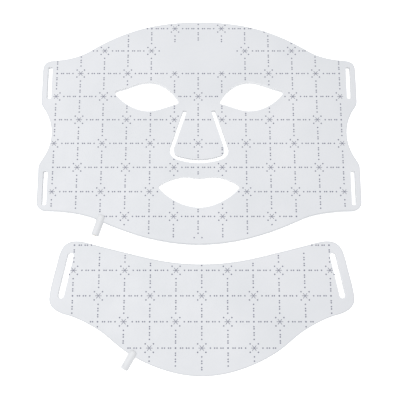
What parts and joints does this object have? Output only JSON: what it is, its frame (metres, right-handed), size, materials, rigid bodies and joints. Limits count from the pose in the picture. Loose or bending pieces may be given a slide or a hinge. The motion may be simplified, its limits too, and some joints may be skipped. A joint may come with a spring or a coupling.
{
  "type": "led face mask",
  "caption": "Flexible silicone light-therapy mask set: a strapped face panel with eye, nose and mouth openings and a matching neck panel, lights on the skin side.",
  "frame": {"origin": "on the face panel's back surface, on its centre line, midway between the eye holes", "axes": "+X across the face towards the viewer's right of the printed front, +Y towards the forehead, +Z out of the printed front"},
  "size_m": [0.3064, 0.3405, 0.0071],
  "materials": {
    "silicone": "satin moulded silicone",
    "skin_silicone": "milky translucent silicone",
    "flex_circuit": "amber polyimide film with printed tracks",
    "light_package": "encapsulated light package",
    "jack_plastic": "moulded black",
    "contact_metal": "plated",
    "wire_jacket": "extruded",
    "chip_body": "ceramic chip"
  },
  "bodies": {
    "face_left_outer": {"face_left_outer_shell": "silicone", "face_left_outer_cover": "skin_silicone", "face_left_outer_circuit": "flex_circuit", "face_left_outer_lights": "light_package"},
    "face_left_inner": {"face_left_inner_shell": "silicone", "face_left_inner_cover": "skin_silicone", "face_left_inner_circuit": "flex_circuit", "face_left_inner_lights": "light_package", "face_tail_sleeve": "silicone", "face_jack_body": "jack_plastic", "face_jack_contacts": "contact_metal", "face_jack_wires": "wire_jacket", "face_resistors": "chip_body"},
    "face_centre": {"face_centre_shell": "silicone", "face_centre_cover": "skin_silicone", "face_centre_circuit": "flex_circuit", "face_centre_lights": "light_package"},
    "face_right_inner": {"face_right_inner_shell": "silicone", "face_right_inner_cover": "skin_silicone", "face_right_inner_circuit": "flex_circuit", "face_right_inner_lights": "light_package"},
    "face_right_outer": {"face_right_outer_shell": "silicone", "face_right_outer_cover": "skin_silicone", "face_right_outer_circuit": "flex_circuit", "face_right_outer_lights": "light_package"},
    "neck_left_outer": {"neck_left_outer_shell": "silicone", "neck_left_outer_cover": "skin_silicone", "neck_left_outer_circuit": "flex_circuit", "neck_left_outer_lights": "light_package"},
    "neck_left_inner": {"neck_left_inner_shell": "silicone", "neck_left_inner_cover": "skin_silicone", "neck_left_inner_circuit": "flex_circuit", "neck_left_inner_lights": "light_package", "neck_tail_sleeve": "silicone", "neck_jack_body": "jack_plastic", "neck_jack_contacts": "contact_metal", "neck_jack_wires": "wire_jacket", "neck_resistors": "chip_body"},
    "neck_centre": {"neck_centre_shell": "silicone", "neck_centre_cover": "skin_silicone", "neck_centre_circuit": "flex_circuit", "neck_centre_lights": "light_package"},
    "neck_right_inner": {"neck_right_inner_shell": "silicone", "neck_right_inner_cover": "skin_silicone", "neck_right_inner_circuit": "flex_circuit", "neck_right_inner_lights": "light_package"},
    "neck_right_outer": {"neck_right_outer_shell": "silicone", "neck_right_outer_cover": "skin_silicone", "neck_right_outer_circuit": "flex_circuit", "neck_right_outer_lights": "light_package"},
    "nose_flap": {"nose_flap_shell": "silicone", "nose_flap_cover": "skin_silicone", "nose_flap_circuit": "flex_circuit", "nose_flap_lights": "light_package"}
  },
  "joints": [
    {"name": "face_right_inner_bend", "type": "hinge", "parent": "face_centre", "child": "face_right_inner", "pos_m": [0.0575, 0, 0], "axis": [0, 1, 0], "range_deg": [0, 35], "stiffness_Nm_per_rad": 0.03},
    {"name": "face_right_outer_bend", "type": "hinge", "parent": "face_right_inner", "child": "face_right_outer", "pos_m": [0.1035, 0, 0], "axis": [0, 1, 0], "range_deg": [0, 35], "stiffness_Nm_per_rad": 0.03},
    {"name": "neck_right_inner_bend", "type": "hinge", "parent": "neck_centre", "child": "neck_right_inner", "pos_m": [0.0379, 0, 0], "axis": [0, 1, 0], "range_deg": [0, 40], "stiffness_Nm_per_rad": 0.03},
    {"name": "neck_right_outer_bend", "type": "hinge", "parent": "neck_right_inner", "child": "neck_right_outer", "pos_m": [0.0851, 0, 0], "axis": [0, 1, 0], "range_deg": [0, 40], "stiffness_Nm_per_rad": 0.03},
    {"name": "face_left_inner_bend", "type": "hinge", "parent": "face_centre", "child": "face_left_inner", "pos_m": [-0.0575, 0, 0], "axis": [0, -1, 0], "range_deg": [0, 35], "stiffness_Nm_per_rad": 0.03},
    {"name": "face_left_outer_bend", "type": "hinge", "parent": "face_left_inner", "child": "face_left_outer", "pos_m": [-0.1035, 0, 0], "axis": [0, -1, 0], "range_deg": [0, 35], "stiffness_Nm_per_rad": 0.03},
    {"name": "neck_left_inner_bend", "type": "hinge", "parent": "neck_centre", "child": "neck_left_inner", "pos_m": [-0.0329, 0, 0], "axis": [0, -1, 0], "range_deg": [0, 40], "stiffness_Nm_per_rad": 0.03},
    {"name": "neck_left_outer_bend", "type": "hinge", "parent": "neck_left_inner", "child": "neck_left_outer", "pos_m": [-0.0801, 0, 0], "axis": [0, -1, 0], "range_deg": [0, 40], "stiffness_Nm_per_rad": 0.03},
    {"name": "nose_flap_lift", "type": "hinge", "parent": "face_centre", "child": "nose_flap", "pos_m": [0, -0.022, 0.005], "axis": [-1, 0, 0], "range_deg": [0, 45], "stiffness_Nm_per_rad": 0.01},
    {"name": "neck_panel_lift", "type": "slide", "parent": "face_centre", "child": "neck_centre", "axis": [0, 0, 1], "range_m": [0, 0.1]}
  ],
  "couplings": [
    {"joint": "face_right_outer_bend", "follows": "face_right_inner_bend", "ratio": 1},
    {"joint": "neck_right_outer_bend", "follows": "neck_right_inner_bend", "ratio": 1},
    {"joint": "face_left_outer_bend", "follows": "face_left_inner_bend", "ratio": 1},
    {"joint": "neck_left_outer_bend", "follows": "neck_left_inner_bend", "ratio": 1}
  ]
}
